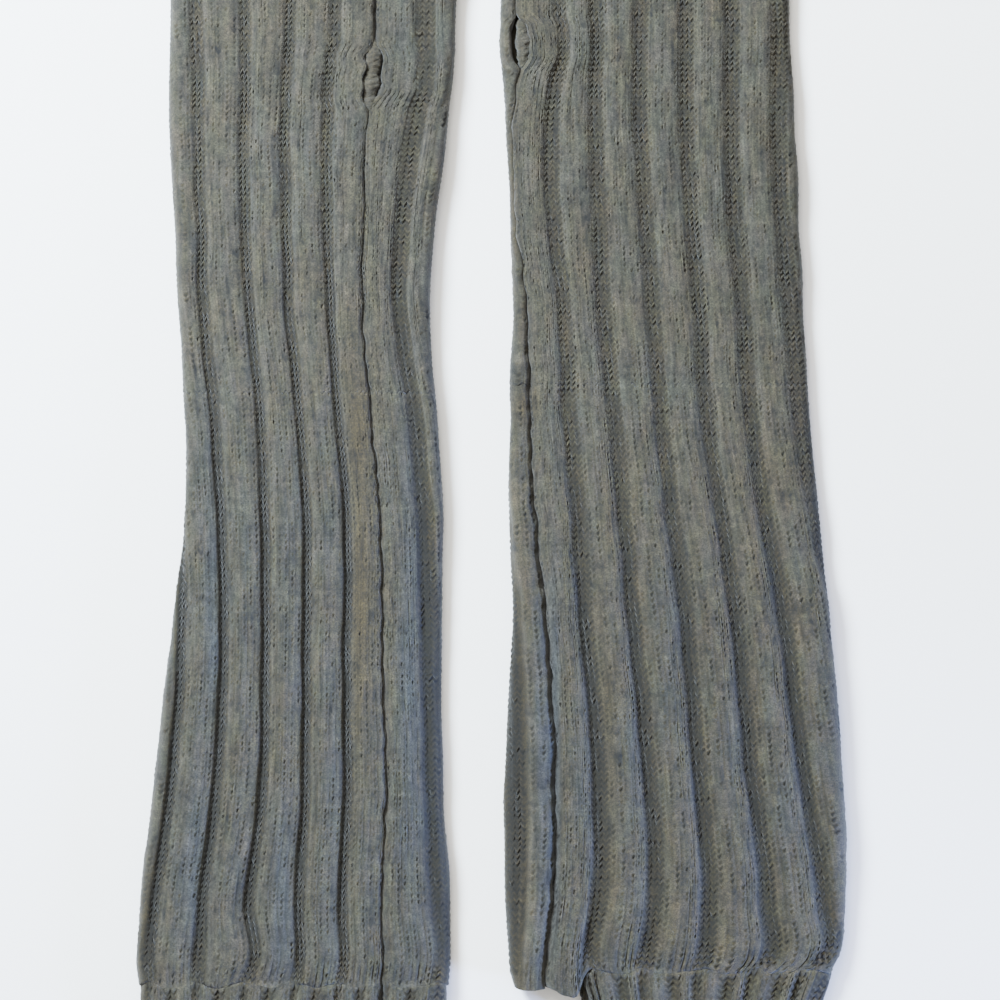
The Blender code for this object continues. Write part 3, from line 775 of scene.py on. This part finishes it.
def heather_wool(name, darkness=1.0):
    """Brushed heather wool: pale and dark fibres spun together, with shade painted in darker
    between the stitches and in the hollows, and painted warm shade and cool light.
    """
    paint = Paint(name)
    place = paint.node("ShaderNodeTexCoord", {}, {}, "Object")
    stitches = paint.node("ShaderNodeUVMap", {"uv_map": "stitches"}, {})
    painted_shade, tone, painted_light = (paint.attribute(label) for label in ("painted_shade", "tone", "painted_light"))
    # The scale of a noise is how many waves it has in a metre
    flecks = paint.between(paint.noise(place, 2300.0, 3.0, 0.65), 0.33, 0.67)
    grain = paint.between(paint.noise(place, 750.0, 2.0, 0.6), 0.3, 0.7)
    mottle = paint.between(paint.noise(place, 240.0, 3.0), 0.3, 0.7)
    patches = paint.between(paint.noise(place, 17.0, 2.0), 0.35, 0.65)
    warm = paint.between(paint.noise(paint.stretched(place, 230.0, 45.0), 1.0, 2.0), 0.36, 0.64)
    green = paint.between(paint.noise(paint.stretched(place, 130.0, 60.0), 1.7, 2.0), 0.36, 0.64)
    # Painted warm shade browns the yarn and painted cool light blues it
    painted_warm_shade, painted_cool_light = paint.between(painted_light, 0.0, 1.6), paint.between(painted_light, 0.0, -3.0)

    fibre = paint.mixed(flecks, DARK_FIBRE, PALE_FIBRE)
    # Painted shade is tinted olive-brown where it is deep
    tint = paint.mixed(paint.between(painted_shade, 0.4, 1.2),
                       paint.mixed(patches, COOL_PATCH, WARM_PATCH), PAINTED_SHADE_TINT)
    tint = paint.multiplied(tint, paint.mixed(warm, COOL_STREAK, WARM_STREAK))
    tint = paint.multiplied(tint, paint.mixed(green, PINK_STREAK, GREEN_STREAK))
    tint = paint.mixed(painted_cool_light, paint.mixed(painted_warm_shade, tint, WARM_SHADE_TINT), COOL_LIGHT_TINT)
    # Painted shade darkens the colour, and more where painted warm shade falls
    painted_darkening = paint.maths("POWER", PAINTED_SHADE_STEP, painted_shade)
    shade = ((0.345 + 0.12 * tone + 0.14 * mottle + 0.30 * grain) * painted_darkening * darkness
             * (1 - 0.16 * painted_warm_shade))
    grey = paint.node("ShaderNodeCombineColor", {}, {0: shade, 1: shade, 2: shade})
    paint.feed(paint.shader.inputs["Base Color"],
               paint.multiplied(paint.multiplied(fibre, tint), grey))
    paint.feed(paint.shader.inputs["Roughness"], 0.86 + 0.1 * flecks)

    ply = paint.noise(paint.stretched(stitches, 9.0, 3.0), 1.0, 3.0, 0.6)
    bump = paint.node("ShaderNodeBump", {}, {"Strength": 0.55, "Distance": 0.00022,
                                             "Height": ply + 0.5 * flecks})
    paint.feed(paint.shader.inputs["Normal"], bump)
    paint.shader.inputs["Sheen Weight"].default_value = 0.12
    paint.shader.inputs["Sheen Roughness"].default_value = 0.6
    paint.shader.inputs["Sheen Tint"].default_value = (0.85, 0.88, 0.92, 1)
    paint.shader.inputs["Specular IOR Level"].default_value = 0.25
    return paint.material


def plain_floor():
    """A wide pale floor."""
    bpy.ops.mesh.primitive_plane_add(size=14.0, location=(0, 0, 0))
    floor = bpy.context.object
    floor.name = "floor"
    paint = Paint("pale floor")
    paint.shader.inputs["Base Color"].default_value = (0.9, 0.9, 0.9, 1)
    paint.shader.inputs["Roughness"].default_value = 0.9
    floor.data.materials.append(paint.material)
    return floor


def soft_light(name, place, aim, size, power, colour, spread=180):
    bpy.ops.object.light_add(type="AREA", location=place)
    light = bpy.context.object
    light.name = name
    light.data.shape = "DISK"
    light.data.size = size
    light.data.energy = power
    light.data.color = colour
    light.data.spread = math.radians(spread)
    way = Vector(aim) - Vector(place)
    light.rotation_euler = way.to_track_quat("-Z", "Y").to_euler()


def studio():
    """A cool window at the left, a low cool light at the right, and warm light all round."""
    world = bpy.data.worlds.new("studio")
    world.use_nodes = True
    world.node_tree.nodes["Background"].inputs["Color"].default_value = (1.0, 0.97, 0.90, 1)
    world.node_tree.nodes["Background"].inputs["Strength"].default_value = 1.1
    bpy.context.scene.world = world
    soft_light("window side", place=(-0.65, 0.6, 0.65), aim=(-0.06, 0.10, 0), size=0.4,
               power=94.0, colour=(0.76, 0.89, 1.0))
    soft_light("cool side", place=(0.82, -0.43, 0.16), aim=(0.02, -0.15, 0), size=0.2,
               power=1.35, colour=(0.36, 0.50, 1.0), spread=26)
    soft_light("overhead", place=(-0.5, 1.4, 1.6), aim=(0, 0.05, 0), size=1.2,
               power=45.0, colour=(1.0, 0.96, 0.88))


def overhead_camera():
    """Straight down, with a long lens, over the place that the photograph frames."""
    bpy.ops.object.camera_add(location=(0.00288, -0.02048, 3.0), rotation=(0, 0, 0))
    camera = bpy.context.object
    camera.data.lens = 336.9
    camera.data.clip_end = 50.0
    bpy.context.scene.camera = camera


def main():
    floor = plain_floor()
    studio()
    overhead_camera()
    body_wool = heather_wool("heather wool, body")
    hem_wool = heather_wool("heather wool, hem", darkness=0.97)
    for warmer, roll_shape in ((LEFT, LEFT_ROLL), (RIGHT, RIGHT_ROLL)):
        roll = thumb_roll(f"{warmer.name}_thumb_roll", *roll_shape)
        roll.data.materials.append(body_wool)
        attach(roll, "root")
        cut_section = Section(*(values[CUT_SECTION] for values in warmer.body))
        wide = girth(cut_section) * OVER_RIBS * TO_METRES
        for piece, length in knit_body(warmer):
            piece.data.materials.append(body_wool)
            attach(piece, "root")
            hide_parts(f"{warmer.name}_body")
        piece, length = knit_hem(warmer)
        piece.data.materials.append(hem_wool)
        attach(piece, "root")
        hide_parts(f"{warmer.name}_hem")


main()
